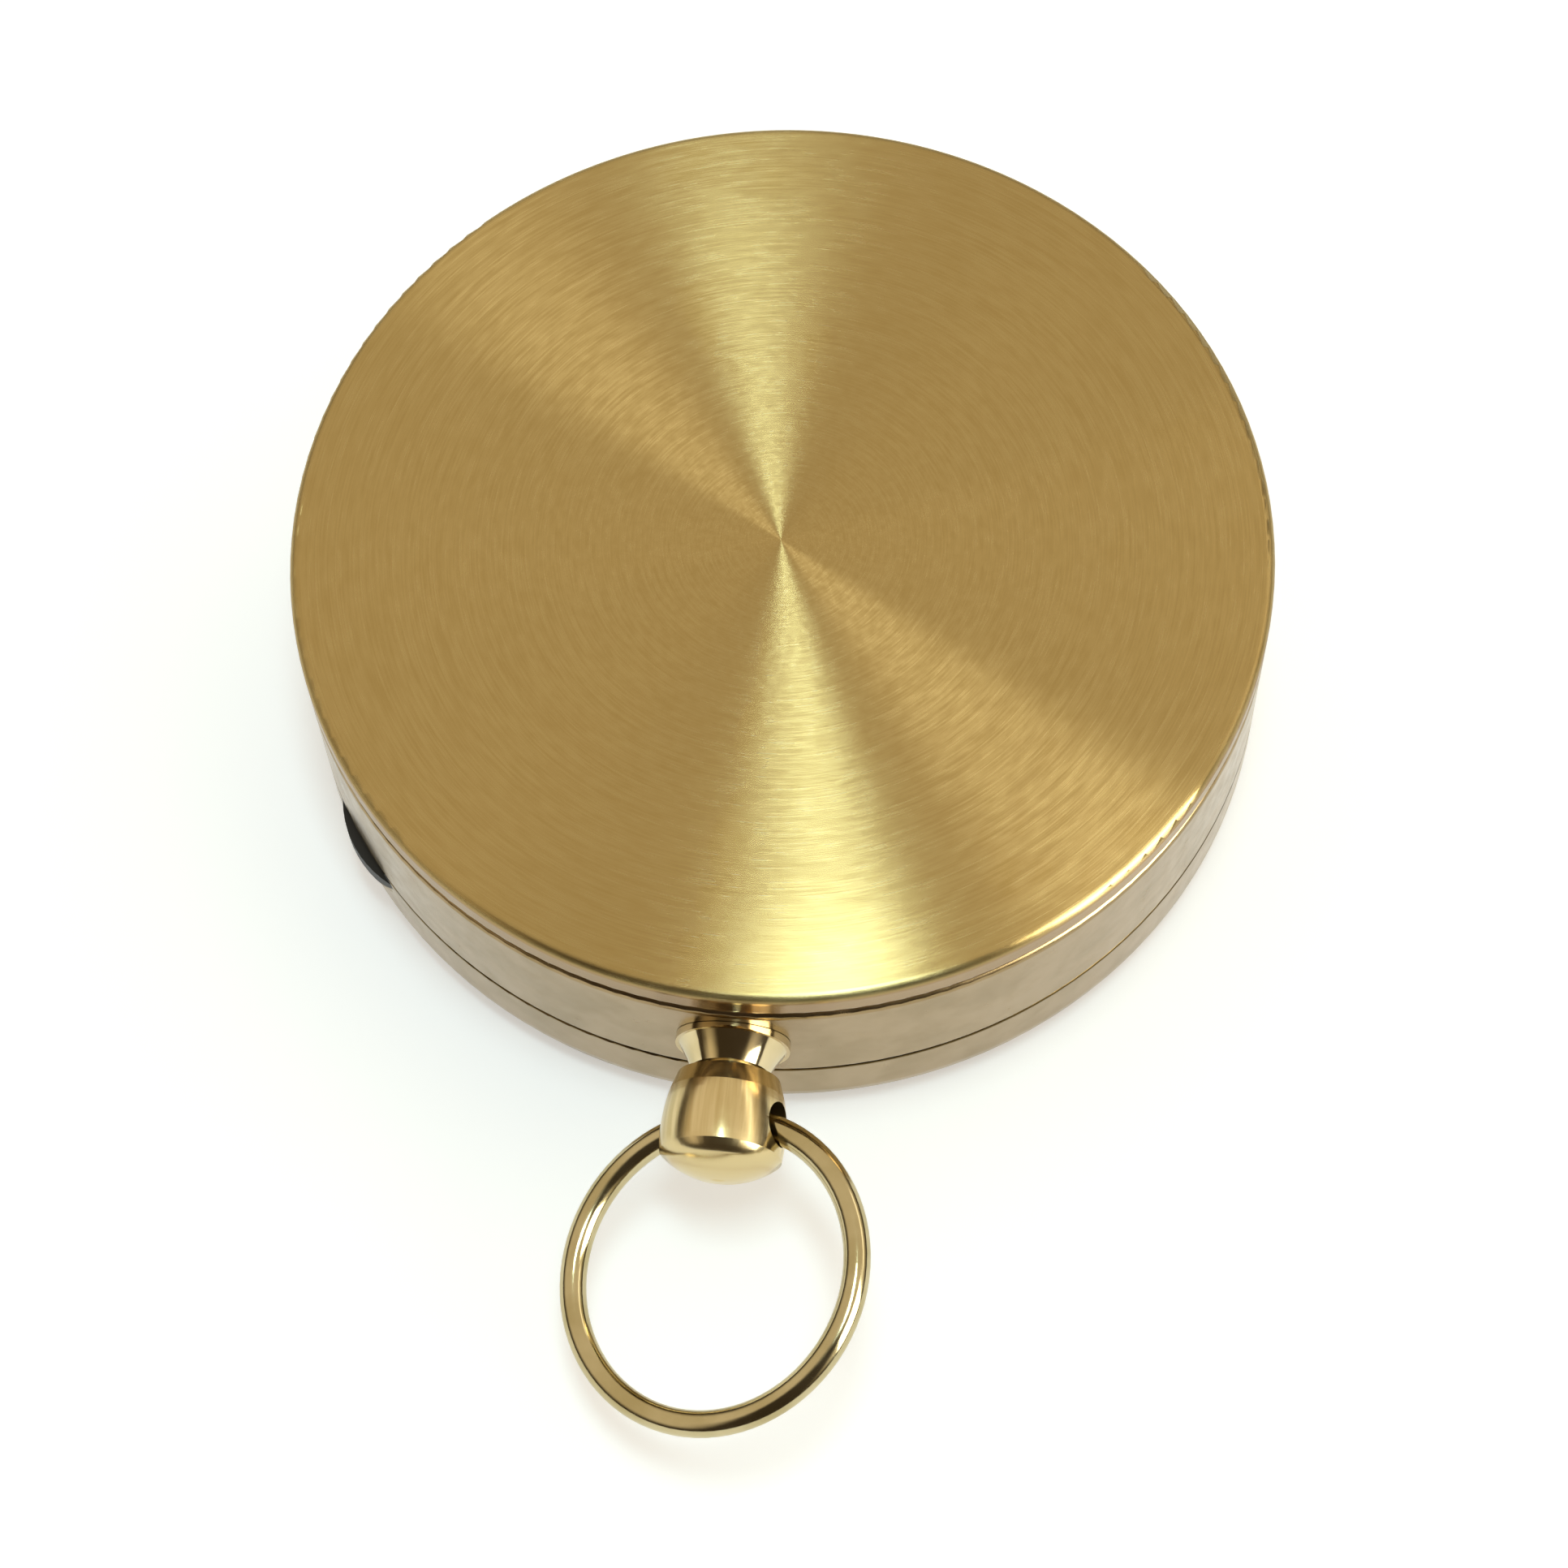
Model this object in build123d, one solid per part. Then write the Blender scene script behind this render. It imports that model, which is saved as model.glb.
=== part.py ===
from build123d import *
import math
import os

# Pocket compass in a hinged case, in millimetres
# The origin is the centre of the flat back, and +Z goes out through the lid
# The stem points to -Y and the hinge is at +Y

# Case shells
case_radius = 22.5
back_height = 4.8
band_height = 6.5
lid_height = 1.8
back_wall = 0.9
band_wall = 1.5
lid_wall = 0.65
back_edge_round = 2.0
lid_edge_round = 0.45
lid_fall = 0.25
lid_fall_width = 4.0
lid_fall_round = 60.0
lid_inner_round = 0.2
seam_break = 0.18
lid_seam_round = 0.3
snap_height = 0.9
snap_wall = 0.6

# Pry lip on the back cover's rim
lip_bearing = -55.0
lip_reach = 0.45
lip_curve = 5.5
lip_height = 0.9
lip_slot = 0.35
lip_slot_depth = 0.6
lip_slot_sweep = 10.0

# Gaps between pieces
fit_clearance = 0.02
running_clearance = 0.05
lid_gap = 0.3

# Pendant, crown and press stem
flange_radius = 2.57
flange_thickness = 0.25
flare_base_radius = 2.42
flare_hollow = 0.05
pendant_length = 1.4
pendant_tip_radius = 1.75
pendant_tube_radius = 2.0
stem_guide_length = 1.0
neck_radius = 1.4
stem_radius = 0.6
stem_socket_depth = 1.6
press_travel = 0.5
press_reserve = 0.2
crown_gap = 0.35
crown_recess_gap = 0.25
crown_face_radius = 2.3
crown_taper = 0.85
crown_taper_radius = 2.58
crown_radius = 2.78
crown_shoulder_radius = 2.72
crown_length = 3.65
crown_dome = 1.05
clip_radius = 1.25
clip_thickness = 0.2
clip_groove = 0.15
push_cap_radius = 1.05
push_cap_wall = 0.14

# Bow ring, swivelled and swung as it lies at rest
bow_radius = 6.75
bow_wire_radius = 0.6
bow_hole_inset = 2.25
bow_hole_play = 0.12
bow_swivel = 21.0
bow_droop = 5.0

# Hinge
hinge_inset = 0.3
hinge_drop = 0.35
knuckle_radius = 0.9
knuckle_length = 2.2
knuckle_end_gap = 0.08
hinge_swing_gap = 0.15
hinge_pin_radius = 0.4
leaf_thickness = 0.4
leaf_height = 0.95
leaf_foot_gap = 0.06

# Catch ring inside the lid
catch_ring_width = 1.18
catch_ring_height = 0.85
catch_ring_wall = 0.5
catch_ledge_height = 0.43
catch_ring_lift = 0.05

# Steel springs on the inside of the band
spring_room = 2.5
spring_standoff = 0.7
spring_thickness = 0.4
spring_height = 2.8
spring_sweep = 62.0
spring_foot_sweep = 10.0
spring_tail_sweep = 8.0
catch_nib_sweep = 9.0
catch_hook_reach = 0.4
catch_hook_height = 0.38
catch_hook_gap = 0.06
lift_finger_start = 6.5
lift_finger_sweep = 5.5
screw_radius = 0.45
screw_head_radius = 0.95
screw_head_height = 0.45
screw_depth = 0.9

# Capsule, dial and glass
bezel_drop = 1.0
bezel_rise = 0.65
bezel_lip_height = 0.35
bezel_lip_overlap = 0.7
bezel_ring_gap = 0.35
bezel_slot_margin = 0.25
crystal_seat = 0.625
crystal_thickness = 0.9
crystal_bevel = 0.15
gasket_thickness = 0.25
cup_wall = 1.5
cup_floor = 0.8
dial_depth = 3.25
dial_thickness = 0.35
holder_wall = 1.2
holder_foot_height = 1.2

# Needle and its pivot
needle_length = 28.0
needle_width = 4.2
needle_thickness = 0.25
needle_headroom = 1.1
needle_hang = 0.35
cap_radius = 1.5
cap_sleeve_radius = 1.0
cap_rise = 0.5
jewel_radius = 0.6
jewel_cup_radius = 0.4
jewel_cup_depth = 0.45
pivot_radius = 0.4
pivot_tip_radius = 0.03
pivot_cone = 1.4
pivot_foot_radius = 1.7
pivot_foot_height = 0.35
pivot_rivet_radius = 0.75

# Levels and radii that follow from the sizes above
band_top = back_height + band_height
lid_rim = band_top + lid_gap
lid_top = lid_rim + lid_height
lid_ceiling = lid_top - lid_wall
lid_bore = case_radius - lid_wall
bore_radius = case_radius - band_wall
snap_outer = bore_radius - fit_clearance
snap_inner = snap_outer - snap_wall
stem_height = back_height + band_height / 2
hinge_y = case_radius - hinge_inset
hinge_z = band_top - hinge_drop
barrel_length = 3 * knuckle_length + 2 * knuckle_end_gap

catch_ring_outer = lid_bore - fit_clearance
catch_ring_inner = catch_ring_outer - catch_ring_width
catch_ring_low = lid_rim + catch_ring_lift
catch_ledge_top = catch_ring_low + catch_ledge_height

spring_outer = bore_radius - spring_standoff
spring_inner = spring_outer - spring_thickness
spring_low = stem_height - spring_height / 2
spring_high = stem_height + spring_height / 2
spring_foot_outer = bore_radius - fit_clearance

cup_radius = bore_radius - spring_room
cup_bore = cup_radius - cup_wall
crystal_radius = cup_bore + crystal_seat
crystal_top = band_top
crystal_low = crystal_top - crystal_thickness
cup_top = crystal_low - gasket_thickness
dial_top = crystal_low - dial_depth
dial_low = dial_top - dial_thickness
cup_low = dial_low - cup_floor
bezel_low = band_top - bezel_drop
bezel_outer = bore_radius - fit_clearance
bezel_riser = catch_ring_inner - bezel_ring_gap
bezel_top = band_top + bezel_rise

pivot_tip = crystal_low - needle_headroom
needle_low = pivot_tip - needle_hang - needle_thickness
needle_high = pivot_tip - needle_hang

# Distances along the stem, from the case's axis outwards
pendant_end = case_radius + pendant_length
guide_end = bore_radius + stem_guide_length
neck_end = guide_end + press_travel + press_reserve
crown_face = pendant_end + crown_gap
crown_recess_end = pendant_end + press_travel + press_reserve
crown_taper_end = crown_face + crown_taper
crown_shoulder = crown_face + crown_length
crown_tip = crown_shoulder + crown_dome
bow_pivot = crown_face + bow_hole_inset
clip_outer = bore_radius - running_clearance
clip_inner = clip_outer - clip_thickness
push_face = spring_outer + fit_clearance
stem_nose = push_face + push_cap_wall + fit_clearance
stem_frame = Plane(origin=(0, 0, stem_height), x_dir=(1, 0, 0), z_dir=(0, -1, 0))
STEM_ANGLE = 270.0
HINGE_ANGLE = 90.0

# The bow's wire bends inside the straight cross hole, so the hole takes the wire and half its bend each way
bow_bend = bow_radius - math.sqrt(bow_radius ** 2 - crown_radius ** 2)
bow_hole_radius = bow_wire_radius + bow_bend / 2 + bow_hole_play
bow_reach = bow_radius - bow_bend / 2
swivel_angle = math.radians(bow_swivel)
droop_angle = math.radians(bow_droop)
bow_axis = Vector(math.cos(swivel_angle), 0, math.sin(swivel_angle))
bow_fall = Vector(math.sin(swivel_angle), 0, -math.cos(swivel_angle))
bow_out = Vector(0, -1, 0) * math.cos(droop_angle) + bow_fall * math.sin(droop_angle)
bow_centre = Vector(0, -bow_pivot, stem_height)


def turned(*points):
    """Solid turned about Z from (radius, height) points, where a third number rounds that corner."""
    section = make_face(Polyline(*[point[:2] for point in points], close=True))
    for point in points:
        if len(point) == 3:
            corner = section.vertices().sort_by_distance((point[0], point[1], 0))[0]
            section = fillet(corner, point[2])
    return revolve(Plane.XZ * section, Axis.Z)


def turned_outline(*curves):
    """Solid turned about Z from lines and arcs that close a half section."""
    return revolve(Plane.XZ * make_face(Curve() + list(curves)), Axis.Z)


def rod(radius, low, high):
    """Round bar on the Z axis between two heights."""
    bar = Cylinder(radius, high - low, align=(Align.CENTER, Align.CENTER, Align.MIN))
    return Pos(0, 0, low) * bar


def hinge_rod(radius, start, length):
    """Round bar on the hinge's axis, from x = start."""
    return Pos(start, hinge_y, hinge_z) * Rot(0, 90, 0) * rod(radius, 0, length)


def ring_sector(inner, outer, start, sweep, low, high):
    """Piece of a ring between two radii, from a start angle over a sweep in degrees, between two heights."""
    far = CenterArc((0, 0), outer, start, sweep)
    near = CenterArc((0, 0), inner, start, sweep)
    face = make_face(Curve() + [far, Line(far @ 1, near @ 1), near, Line(near @ 0, far @ 0)])
    return Pos(0, 0, low) * extrude(face, amount=high - low, dir=(0, 0, 1))


def radial(angle, height):
    """Place whose Z axis points out from the case's axis at an angle in degrees."""
    return Pos(0, 0, height) * Rot(0, 0, angle) * Rot(0, 90, 0)


def along_stem(solid):
    """Solid turned about Z, laid on the stem's axis."""
    return stem_frame * solid


def back_cover():
    """Dished back with a snap rim that fits inside the band, and a lip to pry it off."""
    wall_inner = case_radius - back_wall
    shell = turned(
        (0, 0),
        (case_radius, 0, back_edge_round),
        (case_radius, back_height, seam_break),
        (snap_outer, back_height),
        (snap_outer, back_height + snap_height, seam_break),
        (snap_inner, back_height + snap_height),
        (snap_inner, back_height - snap_wall),
        (wall_inner, back_height - snap_wall - (wall_inner - snap_inner)),
        (wall_inner, back_wall, back_edge_round - back_wall),
        (0, back_wall),
    )
    lip_angle = STEM_ANGLE + lip_bearing
    slot_low = back_height - lip_slot
    slot_inner = case_radius - lip_slot_depth
    slot_start = lip_angle - lip_slot_sweep / 2
    slot = ring_sector(slot_inner, case_radius + lip_reach, slot_start, lip_slot_sweep, slot_low, back_height)
    lip = Pos(case_radius + lip_reach - lip_curve, 0, 0) * rod(lip_curve, slot_low - lip_height, slot_low)
    lip -= rod(case_radius - back_wall / 2, slot_low - lip_height, slot_low)
    return shell - slot + Rot(0, 0, lip_angle) * lip


def case_band():
    """Straight middle band with the pendant's hole, the hinge's groove and the spring screws' holes."""
    band = turned(
        (bore_radius, back_height),
        (case_radius, back_height, seam_break),
        (case_radius, band_top, lid_seam_round),
        (bore_radius, band_top),
    )
    band -= along_stem(rod(pendant_tube_radius + fit_clearance, 0, case_radius + flange_radius))
    band -= hinge_rod(knuckle_radius + fit_clearance, -barrel_length / 2, barrel_length)
    lid_groove = knuckle_length + 2 * knuckle_end_gap
    band -= hinge_rod(knuckle_radius + hinge_swing_gap, -lid_groove / 2, lid_groove)
    for angle in screw_angles():
        hole = rod(screw_radius + fit_clearance, 0, bore_radius + screw_depth + fit_clearance)
        band -= radial(angle, stem_height) * hole
    return band


def screw_angles():
    """Bearings of the two spring feet, each at the end of its spring."""
    foot_middle = spring_sweep + spring_foot_sweep / 2
    return STEM_ANGLE + foot_middle, HINGE_ANGLE + lift_finger_start + foot_middle


def pendant_collar():
    """Flanged tube in the band's side, saddled to the band outside, flared down to the crown's neck."""
    flange_face = case_radius + flange_thickness
    saddle_low = case_radius - flange_thickness
    flare_start = (flare_base_radius, flange_face)
    flare_end = (pendant_tip_radius, pendant_end)
    flare_middle = (
        (flare_base_radius + pendant_tip_radius) / 2 - flare_hollow,
        (flange_face + pendant_end) / 2,
    )
    head = turned_outline(
        Polyline(flare_end, (0, pendant_end), (0, saddle_low), (flange_radius, saddle_low),
                 (flange_radius, flange_face), flare_start),
        ThreePointArc(flare_start, flare_middle, flare_end),
    )
    head = along_stem(head) - rod(case_radius + fit_clearance, 0, lid_top)
    collar = head + along_stem(rod(pendant_tube_radius, bore_radius, case_radius + flange_thickness))
    collar -= along_stem(rod(neck_radius + running_clearance, guide_end, crown_tip))
    return collar - along_stem(rod(stem_radius + running_clearance, 0, crown_tip))


def crown():
    """Barrel crown with a domed end and a cross hole for the bow, on a neck that slides in the pendant."""
    recess_radius = pendant_tip_radius + crown_recess_gap
    barrel_start = (crown_taper_radius, crown_taper_end)
    barrel_middle = (crown_radius, (crown_taper_end + crown_shoulder) / 2)
    barrel_end = (crown_shoulder_radius, crown_shoulder)
    dome_radius = (crown_shoulder_radius ** 2 + crown_dome ** 2) / (2 * crown_dome)
    dome_middle_radius = crown_shoulder_radius / 2
    dome_middle_drop = dome_radius - math.sqrt(dome_radius ** 2 - dome_middle_radius ** 2)
    body = turned_outline(
        Polyline((0, crown_tip), (0, neck_end), (neck_radius, neck_end), (neck_radius, crown_recess_end),
                 (recess_radius, crown_recess_end), (recess_radius, crown_face),
                 (crown_face_radius, crown_face), barrel_start),
        ThreePointArc(barrel_start, barrel_middle, barrel_end),
        ThreePointArc(barrel_end, (dome_middle_radius, crown_tip - dome_middle_drop), (0, crown_tip)),
    )
    body -= rod(stem_radius + fit_clearance, neck_end, neck_end + stem_socket_depth)
    cross_frame = Plane(origin=bow_centre, z_dir=bow_axis)
    cross_hole = cross_frame * Cylinder(bow_hole_radius, 2 * (crown_radius + bow_hole_radius))
    return along_stem(body) - cross_hole


def push_stem():
    """Steel stem in the crown's neck, with a groove for its clip and a nose that presses the catch."""
    stem = rod(stem_radius, stem_nose, neck_end + stem_socket_depth - fit_clearance)
    groove = rod(stem_radius, clip_inner, clip_outer)
    groove -= rod(stem_radius - clip_groove, clip_inner, clip_outer)
    return along_stem(stem - groove)


def stem_clip():
    """Open retaining clip that keeps the stem from being pulled out."""
    ring = rod(clip_radius, clip_inner, clip_outer)
    ring -= rod(stem_radius - clip_groove + fit_clearance, clip_inner, clip_outer)
    mouth_width = 2 * (stem_radius - clip_groove)
    mouth = Box(mouth_width, clip_radius, 2 * clip_thickness)
    mouth_place = Pos(0, clip_radius / 2, (clip_inner + clip_outer) / 2)
    return along_stem(ring - mouth_place * mouth)


def push_cap():
    """Small steel cup on the stem's nose that bears on the catch spring and doesn't turn with the stem."""
    cup_end = clip_inner - running_clearance
    cap = rod(push_cap_radius, push_face, cup_end)
    cap -= rod(stem_radius + running_clearance, push_face + push_cap_wall, cup_end)
    return along_stem(cap)


def bow_ring():
    """Round wire ring through the crown's cross hole."""
    ring_centre = bow_centre + bow_out * bow_reach
    ring_frame = Plane(origin=ring_centre, x_dir=bow_axis, z_dir=bow_axis.cross(bow_out))
    return ring_frame * Torus(bow_radius, bow_wire_radius)


def lid_shell():
    """Spun lid that falls slightly towards its rounded edge, cut away round the hinge's barrel."""
    lid = turned(
        (0, lid_top),
        (case_radius - lid_fall_width, lid_top, lid_fall_round),
        (case_radius, lid_top - lid_fall, lid_edge_round),
        (case_radius, lid_rim, lid_seam_round),
        (lid_bore, lid_rim),
        (lid_bore, lid_ceiling, lid_inner_round),
        (0, lid_ceiling),
    )
    return lid - lid_hinge_notch()


def lid_hinge_notch():
    """Room that the lid leaves for the hinge's barrel."""
    notch_length = barrel_length + 2 * knuckle_end_gap
    return hinge_rod(knuckle_radius + hinge_swing_gap, -notch_length / 2, notch_length)


def lid_catch_ring():
    """Ring soldered inside the lid's rim, whose ledge the catch hooks over, open at the hinge's leaf."""
    ring = turned(
        (catch_ring_inner, catch_ring_low),
        (catch_ring_outer, catch_ring_low),
        (catch_ring_outer, catch_ring_low + catch_ring_height),
        (catch_ring_outer - catch_ring_wall, catch_ring_low + catch_ring_height),
        (catch_ring_outer - catch_ring_wall, catch_ledge_top),
        (catch_ring_inner, catch_ledge_top),
    )
    leaf_gap_width = knuckle_length + 2 * knuckle_end_gap
    leaf_gap = Pos(0, case_radius, catch_ledge_top) * Box(leaf_gap_width, case_radius, lid_top)
    return ring - leaf_gap - lid_hinge_notch()


def hinge_case_knuckles():
    """The hinge's two outer knuckles, brazed into the band's groove."""
    inner_end = knuckle_length / 2 + knuckle_end_gap
    pin_hole = hinge_pin_radius + fit_clearance
    knuckles = []
    for start in (-inner_end - knuckle_length, inner_end):
        tube = hinge_rod(knuckle_radius, start, knuckle_length) - hinge_rod(pin_hole, start, knuckle_length)
        knuckles.append(tube)
    return Compound(children=knuckles)


def hinge_lid_knuckle():
    """The hinge's middle knuckle with a foot and a leaf, brazed to the inside of the lid's rim."""
    start = -knuckle_length / 2
    leaf_outer = math.sqrt((lid_bore - fit_clearance) ** 2 - (knuckle_length / 2) ** 2)
    leaf_low = band_top + leaf_foot_gap
    foot = hinge_rod(knuckle_radius + hinge_swing_gap - fit_clearance, start, knuckle_length)
    foot_room = knuckle_radius + hinge_swing_gap
    foot_box = Box(knuckle_length, foot_room, foot_room, align=(Align.CENTER, Align.MAX, Align.MIN))
    foot &= Pos(0, hinge_y, leaf_low) * foot_box
    leaf = Box(knuckle_length, leaf_thickness, leaf_height, align=(Align.CENTER, Align.MAX, Align.MIN))
    knuckle = hinge_rod(knuckle_radius, start, knuckle_length) + foot + Pos(0, leaf_outer, leaf_low) * leaf
    return knuckle - hinge_rod(hinge_pin_radius + running_clearance, start, knuckle_length)


def hinge_pin():
    """Steel pin through all three knuckles."""
    return hinge_rod(hinge_pin_radius, -barrel_length / 2, barrel_length)


def spring_leaf(free_angle):
    """Curved leaf from its free end's bearing to a thick foot at the band."""
    foot_angle = free_angle + spring_sweep
    low, high = spring_low, spring_high
    leaf = ring_sector(spring_inner, spring_outer, free_angle, spring_sweep, low, high)
    return leaf + ring_sector(spring_inner, spring_foot_outer, foot_angle, spring_foot_sweep, low, high)


def catch_spring():
    """Leaf whose nib rises through the bezel and hooks over the lid's catch ring."""
    hook_low = catch_ledge_top + catch_hook_gap
    hook_high = hook_low + catch_hook_height
    hook_outer = catch_ring_inner + catch_hook_reach
    nib_start = STEM_ANGLE - catch_nib_sweep / 2
    tail_start = STEM_ANGLE - spring_tail_sweep
    spring = spring_leaf(STEM_ANGLE)
    spring += ring_sector(spring_inner, spring_outer, tail_start, spring_tail_sweep, spring_low, spring_high)
    spring += ring_sector(spring_inner, spring_outer, nib_start, catch_nib_sweep, spring_low, hook_high)
    spring += ring_sector(spring_inner, hook_outer, nib_start, catch_nib_sweep, hook_low, hook_high)
    screw_hole = rod(screw_radius + fit_clearance, 0, case_radius)
    return spring - radial(screw_angles()[0], stem_height) * screw_hole


def lift_spring():
    """Leaf whose finger stands under the lid's catch ring beside the hinge and lifts the freed lid."""
    finger_angle = HINGE_ANGLE + lift_finger_start
    finger_outer = bore_radius - running_clearance
    finger_high = catch_ring_low - running_clearance
    sweep = lift_finger_sweep
    spring = spring_leaf(finger_angle)
    spring += ring_sector(spring_inner, spring_outer, finger_angle, sweep, spring_low, finger_high)
    spring += ring_sector(spring_inner, finger_outer, finger_angle, sweep, bezel_low, finger_high)
    screw_hole = rod(screw_radius + fit_clearance, 0, case_radius)
    return spring - radial(screw_angles()[1], stem_height) * screw_hole


def spring_screws():
    """One screw through each spring's foot into the band."""
    head_seat = math.sqrt(spring_inner ** 2 - screw_head_radius ** 2) - fit_clearance
    head_low = head_seat - screw_head_height
    screws = []
    for angle in screw_angles():
        shank = rod(screw_radius, head_low, bore_radius + screw_depth)
        head = rod(screw_head_radius, head_low, head_seat)
        screws.append(radial(angle, stem_height) * (shank + head))
    return Compound(children=screws)


def crystal_bezel():
    """Wide dished ring pressed into the band, which holds the glass and is open for the two springs."""
    seat = crystal_radius + running_clearance
    lip_inner = crystal_radius - bezel_lip_overlap
    bezel = turned(
        (seat, bezel_low),
        (bezel_outer, bezel_low),
        (bezel_outer, band_top),
        (bezel_riser, band_top),
        (bezel_riser, bezel_top, seam_break),
        (lip_inner, crystal_top + bezel_lip_height, seam_break),
        (lip_inner, crystal_top),
        (seat, crystal_top),
    )
    slot_inner = spring_inner - press_travel - bezel_slot_margin
    margin = math.degrees(bezel_slot_margin / spring_inner)
    catch_start = STEM_ANGLE - catch_nib_sweep / 2 - margin
    catch_sweep = catch_nib_sweep + 2 * margin
    bezel -= ring_sector(slot_inner, case_radius, catch_start, catch_sweep, cup_low, lid_top)
    finger_start = HINGE_ANGLE + lift_finger_start - margin
    finger_sweep = lift_finger_sweep + 2 * margin
    finger_inner = spring_inner - bezel_slot_margin
    return bezel - ring_sector(finger_inner, case_radius, finger_start, finger_sweep, cup_low, lid_top)


def crystal():
    """Flat glass with a polished bevel."""
    edge = crystal_radius - crystal_bevel
    return turned(
        (0, crystal_low),
        (crystal_radius, crystal_low),
        (crystal_radius, crystal_top - crystal_bevel),
        (edge, crystal_top),
        (0, crystal_top),
    )


def crystal_gasket():
    """Flat rubber ring between the cup's rim and the glass."""
    return rod(crystal_radius, cup_top, crystal_low) - rod(cup_bore, cup_top, crystal_low)


def capsule_cup():
    """Turned cup that carries the dial, the pivot and the glass."""
    rivet_hole = pivot_rivet_radius + fit_clearance
    return turned(
        (rivet_hole, cup_low),
        (cup_radius, cup_low, seam_break),
        (cup_radius, cup_top),
        (cup_bore, cup_top),
        (cup_bore, dial_low),
        (rivet_hole, dial_low),
    )


def holder_ring():
    """Moulded ring with a foot that holds the capsule up from the back cover."""
    inner = cup_radius - holder_wall
    foot_outer = min(snap_inner, case_radius - back_edge_round) - running_clearance
    foot_top = back_wall + holder_foot_height
    return turned(
        (inner, back_wall),
        (foot_outer, back_wall),
        (foot_outer, foot_top),
        (cup_radius, foot_top),
        (cup_radius, cup_low),
        (inner, cup_low),
    )


def dial_plate():
    """Thin round dial on the cup's floor."""
    plate = rod(cup_bore - running_clearance, dial_low, dial_top)
    return plate - rod(pivot_rivet_radius + fit_clearance, dial_low, dial_top)


def pivot_post():
    """Riveted post with a foot on the dial and a sharp tip for the needle's jewel."""
    foot_top = dial_top + pivot_foot_height
    return turned(
        (0, cup_low),
        (pivot_rivet_radius, cup_low),
        (pivot_rivet_radius, dial_top),
        (pivot_foot_radius, dial_top),
        (pivot_foot_radius, foot_top, pivot_foot_height / 2),
        (pivot_radius, foot_top),
        (pivot_radius, pivot_tip - pivot_cone),
        (pivot_tip_radius, pivot_tip),
        (0, pivot_tip),
    )


def needle_blade():
    """Lozenge needle, pointed at both ends, with a hole for its cap."""
    half_length = needle_length / 2
    half_width = needle_width / 2
    corners = ((0, half_length), (half_width, 0), (0, -half_length), (-half_width, 0))
    outline = make_face(Polyline(*corners, close=True))
    blade = Pos(0, 0, needle_low) * extrude(outline, amount=needle_thickness, dir=(0, 0, 1))
    return blade - rod(cap_sleeve_radius + fit_clearance, needle_low, needle_high)


def needle_cap():
    """Brass cap on the blade, with a sleeve through it and a bore for the jewel."""
    bore = jewel_radius + fit_clearance
    cap_top = pivot_tip + cap_rise
    return turned(
        (bore, needle_low),
        (cap_sleeve_radius, needle_low),
        (cap_sleeve_radius, needle_high),
        (cap_radius, needle_high),
        (cap_radius, needle_high + needle_thickness),
        (cap_sleeve_radius, cap_top, seam_break),
        (bore, cap_top),
    )


def needle_jewel():
    """Jewel in the cap, with a conical cup that turns on the pivot's tip."""
    cup_peak = pivot_tip + running_clearance
    jewel_low = cup_peak - jewel_cup_depth
    return turned(
        (jewel_cup_radius, jewel_low),
        (jewel_radius, jewel_low),
        (jewel_radius, pivot_tip + cap_rise),
        (0, pivot_tip + cap_rise),
        (0, cup_peak),
        (pivot_tip_radius, cup_peak),
    )


pieces = (
    back_cover, case_band, pendant_collar, hinge_case_knuckles, hinge_pin,
    catch_spring, lift_spring, spring_screws, holder_ring, capsule_cup,
    dial_plate, pivot_post, crystal_gasket, crystal, crystal_bezel,
    lid_shell, lid_catch_ring, hinge_lid_knuckle,
    push_cap, crown, push_stem, stem_clip, bow_ring,
    needle_blade, needle_cap, needle_jewel,
)
os.makedirs("parts", exist_ok=True)
for piece in pieces:
    export_step(piece(), f"parts/{piece.__name__}.step")
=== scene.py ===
import math

import bpy
from mathutils import Matrix, Vector


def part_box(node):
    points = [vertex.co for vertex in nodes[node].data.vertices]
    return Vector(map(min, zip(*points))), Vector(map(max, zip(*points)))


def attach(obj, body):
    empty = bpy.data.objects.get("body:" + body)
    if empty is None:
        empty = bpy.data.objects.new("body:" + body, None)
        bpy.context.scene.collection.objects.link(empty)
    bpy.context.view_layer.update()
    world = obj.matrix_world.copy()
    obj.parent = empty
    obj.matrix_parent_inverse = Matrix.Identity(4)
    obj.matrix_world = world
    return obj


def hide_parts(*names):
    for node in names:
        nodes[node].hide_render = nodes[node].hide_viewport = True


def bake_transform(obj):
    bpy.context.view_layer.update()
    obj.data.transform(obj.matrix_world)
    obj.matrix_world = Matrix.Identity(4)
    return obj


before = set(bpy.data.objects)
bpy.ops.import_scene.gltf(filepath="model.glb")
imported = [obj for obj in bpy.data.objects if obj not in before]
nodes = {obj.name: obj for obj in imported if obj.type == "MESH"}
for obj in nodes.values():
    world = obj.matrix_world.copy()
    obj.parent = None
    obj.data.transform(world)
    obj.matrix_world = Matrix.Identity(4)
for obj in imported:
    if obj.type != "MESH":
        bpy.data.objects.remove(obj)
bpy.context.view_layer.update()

# Back cover: a dished shell spun from sheet brass and polished, which snaps into the band from below.
# Its rim has a small lip, with a slot over it for the blade that pries the back off, and the lip is coloured
# near-black as painted shade.
# The seam between the cover and the band is painted brown, as painted shade.
MM = 0.001
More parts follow.
